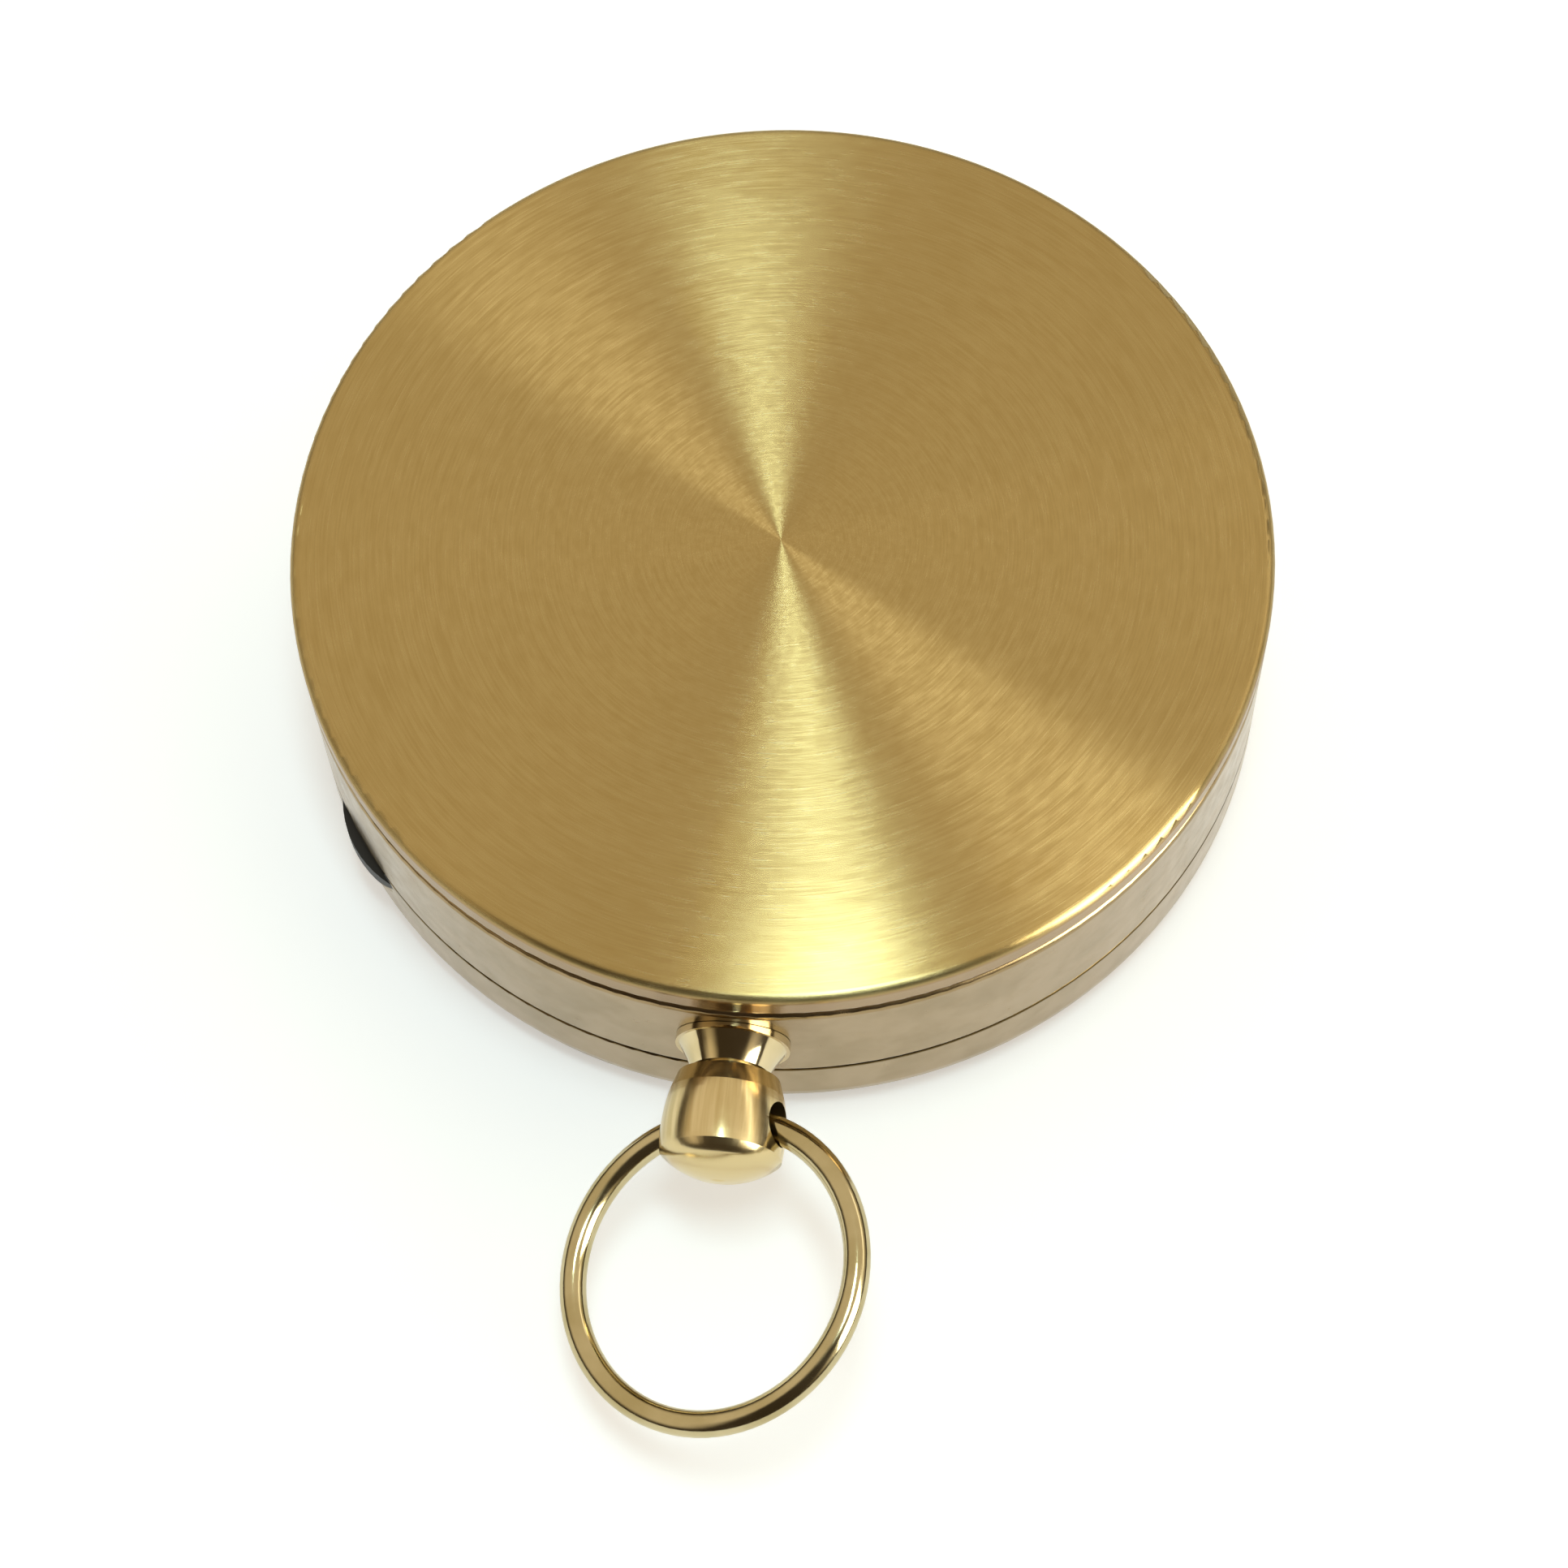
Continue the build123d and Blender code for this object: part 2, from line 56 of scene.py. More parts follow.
# Painted shade: the band's and back's brass is darker than the other polished brass, standing in for the
# shaded floor it reflects.
SHADED_BAND_PALE = (0.37, 0.265, 0.14, 1)
SHADED_BAND_DEEP = (0.30, 0.21, 0.095, 1)
SMEAR_FAINT, SMEAR_FULL = 0.35, 0.7
BACK_SMOOTH, BACK_DULL = 0.14, 0.32
# Painted shade: brass turns brown within a fifth of a millimetre of the seam between back and band.
SEAM_SHADE_BROWN = (0.10, 0.065, 0.022, 1)
SEAM_SHADE_FULL, SEAM_SHADE_GONE = 0.1, 0.2
# Painted shade: the lip is coloured near-black and dull, standing in for the shadow under the band's edge.
LIP_PAINTED_SHADE = (0.012, 0.011, 0.010, 1)
LIP_ROUGHNESS = 0.5
LIP_ANGLE = math.radians(215)
LIP_HEIGHT = 4.3
LIP_SPREAD = 0.37
LIP_EDGE, LIP_END = 0.93, 1.0


class Wire:
    """One output of a node: it can be used in sums, and it can add further nodes to its material."""

    def __init__(self, tree, socket=None):
        self.tree = tree
        self.socket = socket

    def node(self, kind, settings, inputs, output=0):
        """Adds a node with its settings, then fills its inputs, and returns one of its outputs."""
        added = self.tree.nodes.new("ShaderNode" + kind)
        for name, value in settings.items():
            setattr(added, name, value)
        for name, value in inputs.items():
            if isinstance(value, Wire):
                self.tree.links.new(value.socket, added.inputs[name])
            else:
                added.inputs[name].default_value = value
        return Wire(self.tree, added.outputs[output])

    def sum(self, operation, first, second=0.0):
        """Result of any Math node."""
        return self.node("Math", {"operation": operation}, {0: first, 1: second})

    def __add__(self, other):
        return self.sum("ADD", self, other)

    __radd__ = __add__

    def __sub__(self, other):
        return self.sum("SUBTRACT", self, other)

    def __rsub__(self, other):
        return self.sum("SUBTRACT", other, self)

    def __mul__(self, other):
        return self.sum("MULTIPLY", self, other)

    __rmul__ = __mul__

    def __truediv__(self, other):
        return self.sum("DIVIDE", self, other)

    def between(self, low, high):
        """0 below low, 1 above high, and a smooth step between them."""
        settings = {"interpolation_type": "SMOOTHSTEP"}
        return self.node("MapRange", settings, {"Value": self, "From Min": low, "From Max": high})

    def mix(self, at_zero, at_one):
        """Colour that goes from one to the other as this value goes from 0 to 1."""
        return self.node("Mix", {"data_type": "RGBA"}, {0: self, 6: at_zero, 7: at_one}, 2)

    def ranged(self, low, high):
        """Value that goes from low to high as this one goes from 0 to 1."""
        return low + (high - low) * self

    def axis(self, name):
        """X, Y or Z of a vector."""
        return self.node("SeparateXYZ", {}, {0: self}, name)

    def moved(self, offset):
        """Vector seen from another centre."""
        return self.node("VectorMath", {"operation": "SUBTRACT"}, {0: self, 1: offset})

    def stretched(self, across, along, up):
        """Vector with each part multiplied."""
        return self.node("VectorMath", {"operation": "MULTIPLY"}, {0: self, 1: (across, along, up)})

    def length(self):
        """Length of a vector."""
        return self.node("VectorMath", {"operation": "LENGTH"}, {0: self}, "Value")

    def noise(self, scale, detail=2.0):
        """Soft random value about one half, at so many blotches a millimetre."""
        return self.node("TexNoise", {}, {"Vector": self, "Scale": scale, "Detail": detail})

    def bumped(self, strength, depth):
        """Normal of a surface that this value raises, where 1 is so many millimetres."""
        return self.node("Bump", {}, {"Height": self, "Strength": strength, "Distance": depth * MM}, "Normal")

    def into(self, socket):
        """Feeds this value to the material's shader."""
        self.tree.links.new(self.socket, self.tree.nodes["Principled BSDF"].inputs[socket])


def new_material(name, constants):
    """Material with the shader's fixed values, and the place on the piece in millimetres."""
    material = bpy.data.materials.new(name)
    material.use_nodes = True
    tree = material.node_tree
    for socket, value in constants.items():
        tree.nodes["Principled BSDF"].inputs[socket].default_value = value
    place = Wire(tree).node("TexCoord", {}, {}, "Object")
    return material, place.stretched(1 / MM, 1 / MM, 1 / MM)


def dress(material, *names):
    """Gives the CAD pieces of these names one material."""
    for name in names:
        nodes[name].data.materials.clear()
        nodes[name].data.materials.append(material)


def smeared(place, pale, deep):
    """Colour of brass with soft smears of handling."""
    return place.noise(scale=0.35, detail=4.0).between(SMEAR_FAINT, SMEAR_FULL).mix(pale, deep)


def clouded(place, smooth, dull):
    """Roughness that drifts between two values."""
    return place.noise(scale=1.1, detail=3.0).ranged(smooth, dull)


def buffed(place):
    """Faint wave left by the buffing wheel."""
    return place.noise(scale=0.9, detail=1.0).bumped(strength=0.2, depth=0.008)


def dirty_at_seam(place, brass):
    """Colour of brass that turns brown at the seam between back and band, as painted shade."""
    from_seam = place.sum("ABSOLUTE", place.axis("Z") - seam_height)
    return from_seam.between(SEAM_SHADE_FULL, SEAM_SHADE_GONE).mix(SEAM_SHADE_BROWN, brass)


case_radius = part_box("back_cover")[1].x / MM
seam_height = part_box("case_band")[0].z / MM
lip_centre = (case_radius * math.cos(LIP_ANGLE), case_radius * math.sin(LIP_ANGLE), LIP_HEIGHT)
back_brass, place = new_material("polished back brass", {})
# Painted shade: this mask is 0 at the lip, where the near-black colour and higher roughness go.
beyond_lip_shade = place.moved(lip_centre).stretched(LIP_SPREAD, LIP_SPREAD, 1.0).length().between(LIP_EDGE, LIP_END)
seam_shaded_brass = dirty_at_seam(place, smeared(place, SHADED_BAND_PALE, SHADED_BAND_DEEP))
beyond_lip_shade.mix(LIP_PAINTED_SHADE, seam_shaded_brass).into("Base Color")
beyond_lip_shade.into("Metallic")
(LIP_ROUGHNESS - beyond_lip_shade * (LIP_ROUGHNESS - clouded(place, BACK_SMOOTH, BACK_DULL))).into("Roughness")
buffed(place).into("Normal")
dress(back_brass, "back_cover")

# Case band: the straight polished middle of the case, with the pendant's flanged collar let into its side.
# Both are turned from brass, and the collar is soldered in and polished brighter than the band; the band's
# and back's brass is painted darker as painted shade, for the shaded floor they reflect.
BAND_SMOOTH, BAND_DULL = 0.12, 0.34
COLLAR_PALE = (0.70, 0.58, 0.35, 1)
COLLAR_DEEP = (0.58, 0.46, 0.23, 1)
COLLAR_SMOOTH, COLLAR_DULL = 0.05, 0.14


def polished_brass(name, pale, deep, smooth, dull):
    """Bright brass, smeared by handling and faintly waved by the buffing wheel."""
    material, place = new_material(name, {"Metallic": 1.0})
    smeared(place, pale, deep).into("Base Color")
    clouded(place, smooth, dull).into("Roughness")
    buffed(place).into("Normal")
    return material


band_brass, place = new_material("polished band brass", {"Metallic": 1.0})
# Painted shade: the band's brass turns brown along its seam with the back.
dirty_at_seam(place, smeared(place, SHADED_BAND_PALE, SHADED_BAND_DEEP)).into("Base Color")
clouded(place, BAND_SMOOTH, BAND_DULL).into("Roughness")
buffed(place).into("Normal")
dress(band_brass, "case_band")
collar_brass = polished_brass("polished collar brass", COLLAR_PALE, COLLAR_DEEP, COLLAR_SMOOTH, COLLAR_DULL)
dress(collar_brass, "pendant_collar")

# Hinge: three knuckles of brass tube on a pin of drawn steel.
# The outer two are brazed to the band and the middle one to the lid's rim.
INNER_PALE = (0.62, 0.48, 0.24, 1)
INNER_DEEP = (0.56, 0.425, 0.205, 1)
INNER_SMOOTH, INNER_DULL = 0.2, 0.36
PIN_PALE = (0.62, 0.61, 0.59, 1)
PIN_DEEP = (0.42, 0.41, 0.4, 1)
DRAWING_MARKS = (0.4, 0.4, 9.0)
STEEL_SMOOTH, STEEL_DULL = 0.2, 0.45
inner_brass = polished_brass("turned inner brass", INNER_PALE, INNER_DEEP, INNER_SMOOTH, INNER_DULL)
dress(inner_brass, "hinge_case_knuckles", "hinge_lid_knuckle")


def drawn_steel(name, pale, deep):
    """Steel with long fine drawing marks."""
    material, place = new_material(name, {"Metallic": 1.0})
    marks = place.stretched(*DRAWING_MARKS).noise(scale=1.0, detail=4.0)
    marks.mix(deep, pale).into("Base Color")
    marks.ranged(STEEL_SMOOTH, STEEL_DULL).into("Roughness")
    marks.bumped(strength=0.2, depth=0.01).into("Normal")
    return material


pin_steel = drawn_steel("pin steel", PIN_PALE, PIN_DEEP)
dress(pin_steel, "hinge_pin")

# Lift spring and screws: a leaf of tempered steel whose finger lifts the freed lid.
# It and the catch spring are each held to the band by one screw through the foot.
SPRING_PALE = (0.55, 0.54, 0.55, 1)
SPRING_BLUE = (0.3, 0.31, 0.36, 1)
spring_steel = drawn_steel("tempered spring steel", SPRING_PALE, SPRING_BLUE)
dress(spring_steel, "lift_spring", "spring_screws")

# Holder and capsule: a black moulded ring stands on the back cover's floor.
# It carries the turned brass cup that holds the dial, the pivot and the glass.
MOULDING_DARK = (0.012, 0.012, 0.013, 1)
MOULDING_PALE = (0.03, 0.03, 0.031, 1)
MOULDING_SMOOTH, MOULDING_DULL = 0.5, 0.7
moulding, place = new_material("black moulding", {"Specular IOR Level": 0.4})
grain = place.noise(scale=6.0, detail=3.0)
grain.mix(MOULDING_DARK, MOULDING_PALE).into("Base Color")
grain.ranged(MOULDING_SMOOTH, MOULDING_DULL).into("Roughness")
grain.bumped(strength=0.3, depth=0.02).into("Normal")
dress(moulding, "holder_ring")
dress(inner_brass, "capsule_cup")

# Dial: a thin plate in off-white enamel, held on the cup's floor by the riveted pivot.
# Its degree scale, rose and letters are printed in dark ink, with north towards the hinge.
ENAMEL_CREAM = (0.74, 0.71, 0.62, 1)
ENAMEL_PALE = (0.82, 0.79, 0.71, 1)
ENAMEL_SMOOTH, ENAMEL_DULL = 0.35, 0.5
INK_BLACK = (0.012, 0.012, 0.014, 1)
INK_GREY = (0.035, 0.033, 0.033, 1)
ROSE_BLUE = (0.018, 0.035, 0.075, 1)
ROSE_PALE = (0.035, 0.06, 0.115, 1)
INK_SMOOTH, INK_DULL = 0.45, 0.65
INK_DEPTH = 0.03 * MM
INK_SEAT = 0.01 * MM
RING_CORNERS = 180
CLOSE_POINTS = 0.0005 * MM
SCALE_EDGE = 16.3
FIGURE_HEIGHT, FIGURE_DISTANCE = 1.5, 13.35
LETTER_HEIGHT, LETTER_DISTANCE = 3.4, 12.2
enamel, place = new_material("dial enamel", {"Coat Weight": 0.4, "Coat Roughness": 0.1})
speck = place.noise(scale=3.0, detail=4.0)
speck.mix(ENAMEL_CREAM, ENAMEL_PALE).into("Base Color")
speck.ranged(ENAMEL_SMOOTH, ENAMEL_DULL).into("Roughness")
dress(enamel, "dial_plate")
dress(pin_steel, "pivot_post")


def printing_ink(name, dark, pale):
    """Dull ink that is a little uneven."""
    material, place = new_material(name, {"Specular IOR Level": 0.4})
    uneven = place.noise(scale=5.0, detail=3.0)
    uneven.mix(dark, pale).into("Base Color")
    uneven.ranged(INK_SMOOTH, INK_DULL).into("Roughness")
    return material


ink = printing_ink("dial ink", INK_BLACK, INK_GREY)
rose_ink = printing_ink("rose ink", ROSE_BLUE, ROSE_PALE)
ink_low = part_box("dial_plate")[1].z - INK_SEAT


def raise_print():
    """Gives the flat outline in edit mode its thickness of ink, and applies the piece's place."""
    bpy.ops.mesh.select_all(action="SELECT")
    bpy.ops.mesh.extrude_region_move(TRANSFORM_OT_translate={"value": (0, 0, INK_DEPTH)})
    bpy.ops.mesh.select_all(action="SELECT")
    bpy.ops.mesh.normals_make_consistent(inside=False)
    bpy.ops.object.mode_set(mode="OBJECT")
    bpy.ops.object.transform_apply(location=True, rotation=True, scale=True)
    return bpy.context.object


def dial_stroke(width, near, far):
    """Straight stroke of ink on the dial's north line, between two distances from the pivot."""
    middle = (0, (near + far) / 2 * MM, ink_low)
    bpy.ops.object.select_all(action="DESELECT")
    bpy.ops.mesh.primitive_plane_add(size=1.0, location=middle)
    bpy.ops.object.mode_set(mode="EDIT")
    bpy.ops.transform.resize(value=(width * MM, (far - near) * MM, 1), center_override=middle)
    return raise_print()


def dial_ring(near, far):
    """Thin printed circle."""
    bpy.ops.object.select_all(action="DESELECT")
    bpy.ops.mesh.primitive_circle_add(vertices=RING_CORNERS, radius=far * MM, location=(0, 0, ink_low))
    bpy.ops.object.mode_set(mode="EDIT")
    bpy.ops.mesh.extrude_region_move()
    bpy.ops.transform.resize(value=(near / far, near / far, 1), center_override=(0, 0, ink_low))
    return raise_print()


def rose_point(root, waist, tip, width):
    """One point of the rose: a kite whose widest place is near its root."""
    half_way = (root + tip) / 2
    middle = (0, half_way * MM, ink_low)
    bpy.ops.object.select_all(action="DESELECT")
    bpy.ops.mesh.primitive_circle_add(vertices=4, radius=1.0, fill_type="NGON", location=middle)
    bpy.ops.object.mode_set(mode="EDIT")
    size = (width / 2 * MM, (tip - root) / 2 * MM, 1)
    bpy.ops.transform.resize(value=size, center_override=middle)
    bpy.ops.mesh.select_all(action="DESELECT")
    bpy.ops.mesh.select_mode(type="VERT")
    bpy.ops.object.mode_set(mode="OBJECT")
    for corner in bpy.context.object.data.vertices:
        corner.select = abs(corner.co.x) > width / 4 * MM
    bpy.ops.object.mode_set(mode="EDIT")
    bpy.ops.transform.translate(value=(0, (waist - half_way) * MM, 0))
    return raise_print()


def dial_word(word, height, distance, bearing):
    """Figures or a letter, with their tops outwards, at a bearing in degrees."""
    turn = -math.radians(bearing)
    bpy.ops.object.select_all(action="DESELECT")
    bpy.ops.object.text_add()
    piece = bpy.context.object
    piece.data.body = word
    piece.data.size = height * MM
    piece.data.align_x = "CENTER"
    piece.data.align_y = "CENTER"
    piece.data.extrude = INK_DEPTH / 2
    bpy.ops.object.convert(target="MESH")
    piece = bpy.context.object
    piece.rotation_euler.z = turn
    ink_middle = ink_low + INK_DEPTH / 2
    piece.location = (-distance * MM * math.sin(turn), distance * MM * math.cos(turn), ink_middle)
    bpy.ops.object.transform_apply(location=True, rotation=True, scale=True)
    bpy.ops.object.mode_set(mode="EDIT")
    bpy.ops.mesh.select_all(action="SELECT")
    bpy.ops.mesh.remove_doubles(threshold=CLOSE_POINTS)
    bpy.ops.object.mode_set(mode="OBJECT")
    return piece


def all_round(piece, bearings):
    """Copies of a piece turned to these bearings in degrees, in place of the piece itself."""
    copies = []
    for bearing in bearings:
        copy = piece.copy()
        copy.data = piece.data.copy()
        copy.rotation_euler.z = -math.radians(bearing)
        bpy.context.scene.collection.objects.link(copy)
        copies.append(copy)
    bpy.data.objects.remove(piece)
    return copies


def print_piece(name, parts, material):
    """Joins printed parts to one piece of the case, in one ink."""
    bpy.ops.object.select_all(action="DESELECT")
    for part in parts:
        part.select_set(True)
    bpy.context.view_layer.objects.active = parts[0]
    bpy.ops.object.join()
    bpy.ops.object.transform_apply(location=True, rotation=True, scale=True)
    piece = bpy.context.object
    piece.name = name
    piece.data.name = name
    piece.data.materials.clear()
    piece.data.materials.append(material)
    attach(piece, "case")


scale = [dial_ring(near=16.25, far=16.4), dial_ring(near=14.45, far=14.55)]
scale += all_round(dial_stroke(width=0.22, near=14.5, far=SCALE_EDGE), range(0, 360, 30))
scale += all_round(dial_stroke(width=0.14, near=15.2, far=SCALE_EDGE), range(0, 360, 10))
scale += all_round(dial_stroke(width=0.08, near=15.65, far=SCALE_EDGE), range(0, 360, 2))
print_piece("dial_scale", scale, ink)
between_letters = [bearing for bearing in range(0, 360, 30) if bearing % 90]
figures = [dial_word(str(bearing), FIGURE_HEIGHT, FIGURE_DISTANCE, bearing) for bearing in between_letters]
print_piece("dial_figures", figures, ink)
letters = [dial_word(name, LETTER_HEIGHT, LETTER_DISTANCE, 90 * turn) for turn, name in enumerate("NESW")]
print_piece("dial_letters", letters, ink)
rose = all_round(rose_point(root=2.1, waist=3.0, tip=10.0, width=2.5), range(0, 360, 90))
rose += all_round(rose_point(root=2.6, waist=3.3, tip=7.2, width=1.6), range(45, 360, 90))
print_piece("dial_rose", rose, rose_ink)

# Needle: a steel lozenge enamelled red to the north and white to the south.
# Its brass cap holds a red jewel that turns on the pivot's tip.
SOUTH_WHITE = (0.75, 0.74, 0.7, 1)
NORTH_RED = (0.55, 0.03, 0.02, 1)
PAINT_EDGE = 0.02
PAINT_SMOOTH, PAINT_DULL = 0.3, 0.45
JEWEL_DEEP = (0.3, 0.01, 0.03, 1)
JEWEL_PALE = (0.45, 0.02, 0.06, 1)
needle_paint, place = new_material("needle enamel", {"Coat Weight": 0.5, "Coat Roughness": 0.08})
north = place.axis("Y").between(-PAINT_EDGE, PAINT_EDGE)
north.mix(SOUTH_WHITE, NORTH_RED).into("Base Color")
place.noise(scale=2.0).ranged(PAINT_SMOOTH, PAINT_DULL).into("Roughness")
dress(needle_paint, "needle_blade")
dress(inner_brass, "needle_cap")
jewel, place = new_material("red jewel", {"Roughness": 0.08, "Coat Weight": 1.0})
place.noise(scale=2.0).mix(JEWEL_DEEP, JEWEL_PALE).into("Base Color")
dress(jewel, "needle_jewel")

# Glass: a flat polished crystal that lies on a gasket of black rubber in the cup.
# A dished brass bezel, pressed into the band, holds it down.
RUBBER_DARK = (0.012, 0.012, 0.012, 1)
RUBBER_PALE = (0.025, 0.025, 0.025, 1)
RUBBER_SMOOTH, RUBBER_DULL = 0.6, 0.8
GLASS_TINT = (0.95, 0.97, 0.96, 1)
GLASS_SMOOTH, GLASS_DULL = 0.01, 0.04
HEAD_ON_MIRROR, GRAZING_MIRROR, MIRROR_POWER = 0.01, 0.6, 5.0
rubber, place = new_material("gasket rubber", {"Specular IOR Level": 0.3})
bloom = place.noise(scale=4.0)
bloom.mix(RUBBER_DARK, RUBBER_PALE).into("Base Color")
bloom.ranged(RUBBER_SMOOTH, RUBBER_DULL).into("Roughness")
dress(rubber, "crystal_gasket")
glass, place = new_material("crystal glass", {"Metallic": 1.0, "Base Color": (1, 1, 1, 1)})
place.noise(scale=0.6).ranged(GLASS_SMOOTH, GLASS_DULL).into("Roughness")
clear = place.node("BsdfTransparent", {}, {"Color": GLASS_TINT})
gloss = Wire(glass.node_tree, glass.node_tree.nodes["Principled BSDF"].outputs[0])
slant = place.node("LayerWeight", {}, {"Blend": 0.5}, "Facing")
mirror = HEAD_ON_MIRROR + GRAZING_MIRROR * place.sum("POWER", slant, MIRROR_POWER)
surface = place.node("MixShader", {}, {0: mirror, 1: clear, 2: gloss})
glass.node_tree.links.new(surface.socket, glass.node_tree.nodes["Material Output"].inputs["Surface"])
dress(glass, "crystal")
dress(inner_brass, "crystal_bezel")

# Lid: spun from sheet brass and brushed in circles on the lathe, with a polished rim.
# The catch ring is soldered inside its rim.
LID_DEEP = (0.42, 0.30, 0.115, 1)
LID_PALE = (0.49, 0.365, 0.155, 1)
RIM_BRASS = (0.37, 0.25, 0.13, 1)
RIM_BELOW_TOP, BRUSHING_BELOW_TOP = 0.6, 0.4
LID_SMOOTH, LID_WEAR, RIM_POLISH = 0.23, 0.05, 0.07
LINE_SHARE = 0.6
MARKS_FAINT, MARKS_FULL = 0.3, 0.7
NEVER_ZERO = 0.001
lid_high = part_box("lid_shell")[1]
lid_top = lid_high.z / MM
lid_constants = {"Metallic": 1.0, "Anisotropic": 1.0, "Anisotropic Rotation": 0.25}
brushed, place = new_material("brushed lid brass", lid_constants)
from_centre = place.stretched(1, 1, 0).length() + NEVER_ZERO
turn_x = place.axis("X") / from_centre
turn_y = place.axis("Y") / from_centre


def brush_marks(across, along, detail):
    """Noise drawn out in circles, by how fine it is across the circles and how short along them."""
    on_circle = {0: from_centre * across, 1: turn_x * along, 2: turn_y * along}
    return place.node("CombineXYZ", {}, on_circle).noise(scale=1.0, detail=detail)


line = brush_marks(across=13.0, along=4.0, detail=3.0)
fibre = brush_marks(across=3.0, along=14.0, detail=2.0)
worn = (line * LINE_SHARE + fibre * (1 - LINE_SHARE)).between(MARKS_FAINT, MARKS_FULL)
rim = 1 - place.axis("Z").between(lid_top - RIM_BELOW_TOP, lid_top - BRUSHING_BELOW_TOP)
rim.mix(worn.mix(LID_DEEP, LID_PALE), RIM_BRASS).into("Base Color")
(LID_SMOOTH + LID_WEAR * worn - rim * RIM_POLISH).into("Roughness")
((1 - rim) * (line - 0.5)).bumped(strength=0.3, depth=0.008).into("Normal")
dress(brushed, "lid_shell")
dress(inner_brass, "lid_catch_ring")

# Crown and stem: the crown is turned from brass, with a domed end and a cross hole, on a neck in the collar.
# A steel stem in the neck carries a clip and a small cup that presses the catch spring.
# The barrel's colour has painted reflection streaks along the stem, and the dome's edge is polished rounder
# than it was turned.
CROWN_DEEP = (0.56, 0.43, 0.2, 1)
CROWN_PALE = (0.74, 0.61, 0.35, 1)
CROWN_SMOOTH, CROWN_DULL = 0.12, 0.28
STREAKS_ROUND, STREAKS_ALONG, STREAK_DEPTH = 6.0, 0.12, 0.0025
BARREL_END, STREAKS_END = -27.5, -28.0
SWELL_START, SWELL_END, SWELL_DEPTH = 27.4, 28.4, 0.46
stem_low, stem_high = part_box("push_stem")
stem_height = (stem_low.z + stem_high.z) / 2 / MM
crown_brass, place = new_material("crown brass with painted streaks", {"Metallic": 1.0})
round_stem = place.moved((0, 0, stem_height)).stretched(1, 0, 1)
from_stem = round_stem.length() + NEVER_ZERO
on_barrel_side = {
    0: round_stem.axis("X") / from_stem * STREAKS_ROUND,
    1: place.axis("Y") * STREAKS_ALONG,
    2: round_stem.axis("Z") / from_stem * STREAKS_ROUND,
}
# Painted reflection: streaks along the stem in the barrel's colour stand in for reflected light, and they
# also raise a faint bump.
streak = place.node("CombineXYZ", {}, on_barrel_side).noise(scale=1.0, detail=4.0)
on_barrel = place.axis("Y").between(STREAKS_END, BARREL_END)
painted_streaks = 0.5 + on_barrel * (streak.between(MARKS_FAINT, MARKS_FULL) - 0.5)
painted_streaks.mix(CROWN_DEEP, CROWN_PALE).into("Base Color")
clouded(place, CROWN_SMOOTH, CROWN_DULL).into("Roughness")
swell = place.sum("MAXIMUM", (0 - place.axis("Y")).between(SWELL_START, SWELL_END), 0.5)
(SWELL_DEPTH * swell + STREAK_DEPTH * painted_streaks).bumped(strength=1.0, depth=1.0).into("Normal")
dress(crown_brass, "crown")
dress(pin_steel, "push_stem", "stem_clip", "push_cap")

# Catch spring: the leaf of tempered steel whose nib holds the lid shut.
# Its foot is screwed to the band, and the pressed stem bends its free end inwards. Here the leaf is a
# smooth-shaded copy that takes the CAD piece's place, and it is not bent.
SHARP_EDGE = math.radians(30)
bending_leaf = bpy.data.objects.new("bending_catch_spring", nodes["catch_spring"].data.copy())
bpy.context.scene.collection.objects.link(bending_leaf)
bpy.ops.object.select_all(action="DESELECT")
bending_leaf.select_set(True)
bpy.context.view_layer.objects.active = bending_leaf
bpy.ops.mesh.customdata_custom_splitnormals_clear()
bpy.ops.object.mode_set(mode="EDIT")
bpy.ops.mesh.select_all(action="SELECT")
bpy.ops.mesh.remove_doubles(threshold=CLOSE_POINTS)
bpy.ops.object.mode_set(mode="OBJECT")
bpy.ops.object.shade_smooth_by_angle(angle=SHARP_EDGE)
bending_leaf.data.materials.clear()
bending_leaf.data.materials.append(spring_steel)
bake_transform(bending_leaf)
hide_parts("catch_spring")

# Bow: a ring of round brass wire, bent shut through the crown's cross hole and polished.
# It swings in the hole, and a chain or a cord is hooked to it.
BOW_PALE = (0.56, 0.475, 0.28, 1)
BOW_DEEP = (0.45, 0.37, 0.19, 1)
BOW_SMOOTH, BOW_DULL = 0.09, 0.2
bow_brass = polished_brass("polished bow brass", BOW_PALE, BOW_DEEP, BOW_SMOOTH, BOW_DULL)
dress(bow_brass, "bow_ring")

# Floor: a plain sheet of pale paper that the case lies on.
# It glows a little, as the overexposed ground of a product picture does.
FLOOR_SIZE = 3.0
FLOOR_GREY = (0.86, 0.87, 0.88, 1)
FLOOR_PALE = (0.88, 0.89, 0.9, 1)
FLOOR_GLOW, FLOOR_GLOW_STRENGTH = (0.95, 0.98, 1, 1), 0.42
bpy.ops.object.select_all(action="DESELECT")
bpy.ops.mesh.primitive_plane_add(size=FLOOR_SIZE)
floor = bpy.context.object
floor.name = "floor"
paper_constants = {
    "Roughness": 0.9,
    "Specular IOR Level": 0.1,
    "Emission Color": FLOOR_GLOW,
    "Emission Strength": FLOOR_GLOW_STRENGTH,
}
paper, place = new_material("floor paper", paper_constants)
place.noise(scale=0.02).mix(FLOOR_GREY, FLOOR_PALE).into("Base Color")
floor.data.materials.append(paper)

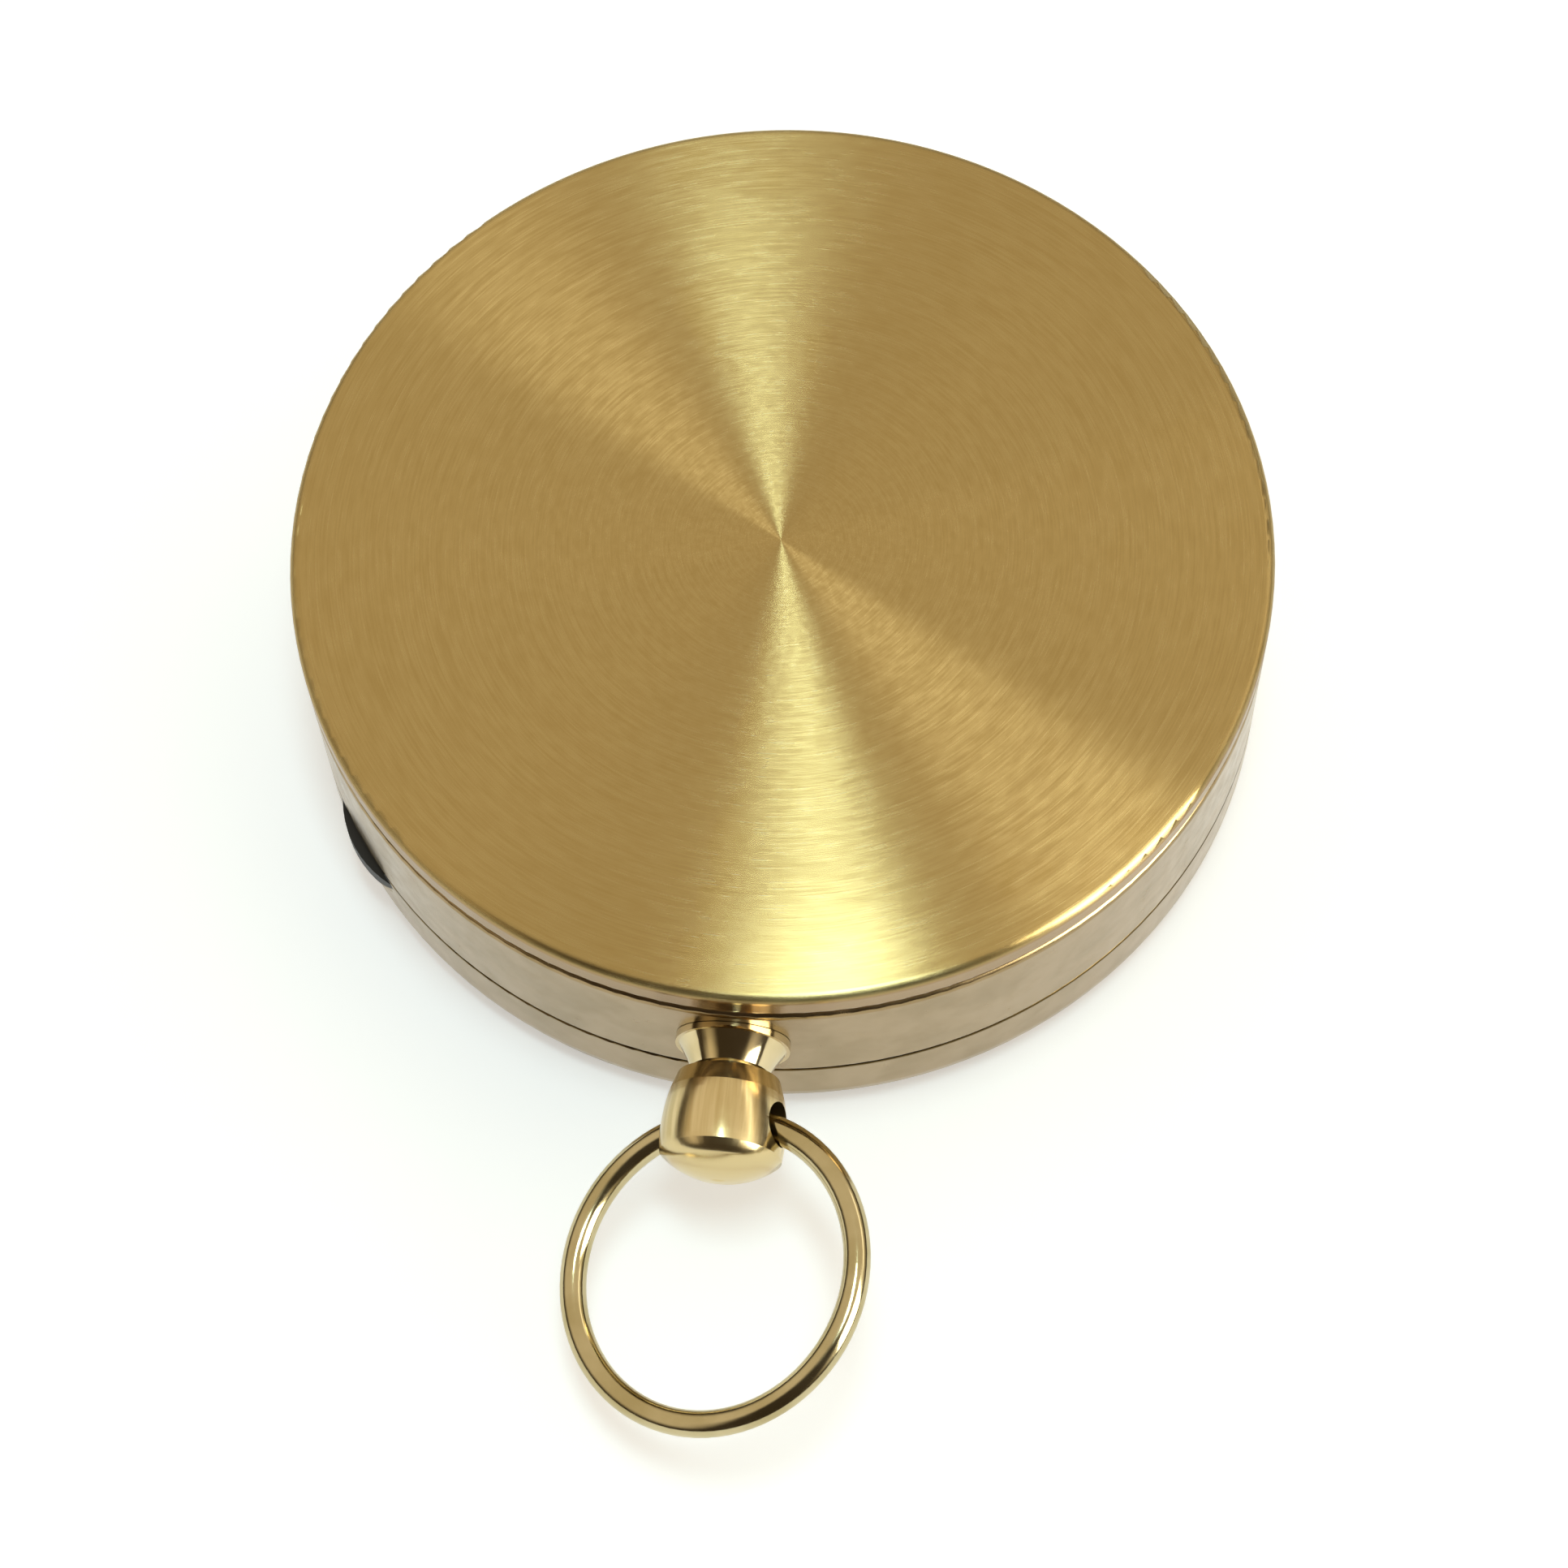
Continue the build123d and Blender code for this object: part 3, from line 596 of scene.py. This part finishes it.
# Camera: close above the stem, at the photo's angle and with its slight roll.
# Its place, aim and focal length were fitted to the outlines of the lid, seams, crown and ring.
EYE = Vector((12.35, -85.71, 177.2)) * MM
AIM = Vector((1.35, -12.13, 13.4)) * MM
ROLL = math.radians(-3.05)
FOCAL_LENGTH = 93.17
SENSOR_WIDTH = 36.0
NEAREST_SEEN = 0.01
back = (EYE - AIM).normalized()
right = Vector((0, 0, 1)).cross(back).normalized()
up = back.cross(right)
camera_x = math.cos(ROLL) * right + math.sin(ROLL) * up
camera_y = math.cos(ROLL) * up - math.sin(ROLL) * right
camera = bpy.data.objects.new("camera", bpy.data.cameras.new("camera"))
camera.data.lens = FOCAL_LENGTH
camera.data.sensor_width = SENSOR_WIDTH
camera.data.clip_start = NEAREST_SEEN
camera.matrix_world = Matrix((camera_x, camera_y, back)).transposed().to_4x4()
camera.location = EYE
bpy.context.scene.collection.objects.link(camera)
bpy.context.scene.camera = camera

# Light: a cool window strip overhead draws the wedges on the brushed lid.
# A side window, which shows in reflections only, gives the glare on the rim and the collar.
# A weak one stands far off, and the room is warm above, and dark low down and behind the camera.
WINDOW_BLUE = (0.66, 0.92, 1.0)
SIDE_WHITE = (0.95, 0.97, 0.9)
FAR_WARM = (1.0, 0.95, 0.84)
ROOM_DARK = (0.06, 0.045, 0.03, 1)
ROOM_WARM = (0.85, 0.74, 0.56, 1)
ROOM_DARK_BELOW, ROOM_WARM_ABOVE = 0.12, 0.5
FRONT_STARTS, FRONT_DARK = 0.12, 0.42
SIDES_START, SIDES_WARM = 0.45, 0.75
LIGHT_DISTANCE = 0.6
LIT_POINT = Vector((0, 0, lid_high.z))
view_right = Vector((right.x, right.y, 0)).normalized()
view_away = Vector((0, 0, 1)).cross(view_right)


def add_light(name, to_right, away, width, length, watts, colour):
    """Area light aimed at the lid, placed by how far it leans to the right of the view and away from it."""
    rise = math.sqrt(1 - to_right ** 2 - away ** 2)
    direction = view_right * to_right + view_away * away + Vector((0, 0, rise))
    lamp = bpy.data.lights.new(name, "AREA")
    lamp.shape = "RECTANGLE"
    lamp.size = width
    lamp.size_y = length
    lamp.energy = watts
    lamp.color = colour
    light = bpy.data.objects.new(name, lamp)
    light.rotation_mode = "QUATERNION"
    light.rotation_quaternion = direction.to_track_quat("Z", "Y")
    light.location = LIT_POINT + direction * LIGHT_DISTANCE
    bpy.context.scene.collection.objects.link(light)
    return light


add_light("window", to_right=0.045, away=-0.1, width=0.1, length=0.2, watts=1.15, colour=WINDOW_BLUE)
side_window = add_light(
    "side window", to_right=0.754, away=-0.426, width=0.3, length=0.45, watts=5.0, colour=SIDE_WHITE
)
side_window.visible_diffuse = False
add_light("far window", to_right=0.75, away=0.3, width=0.45, length=0.1, watts=0.2, colour=FAR_WARM)
world = bpy.data.worlds.new("room")
bpy.context.scene.world = world
world.use_nodes = True
sky = Wire(world.node_tree).node("TexCoord", {}, {}, "Generated")
overhead = sky.axis("Z").between(ROOM_DARK_BELOW, ROOM_WARM_ABOVE)
beside = sky.sum("ABSOLUTE", sky.axis("X")).between(SIDES_START, SIDES_WARM)
in_front = (0 - sky.axis("Y")).between(FRONT_STARTS, FRONT_DARK)
room = (overhead * (1 - in_front * (1 - beside))).mix(ROOM_DARK, ROOM_WARM)
world.node_tree.links.new(room.socket, world.node_tree.nodes["Background"].inputs["Color"])
bpy.context.scene.view_settings.view_transform = "Standard"
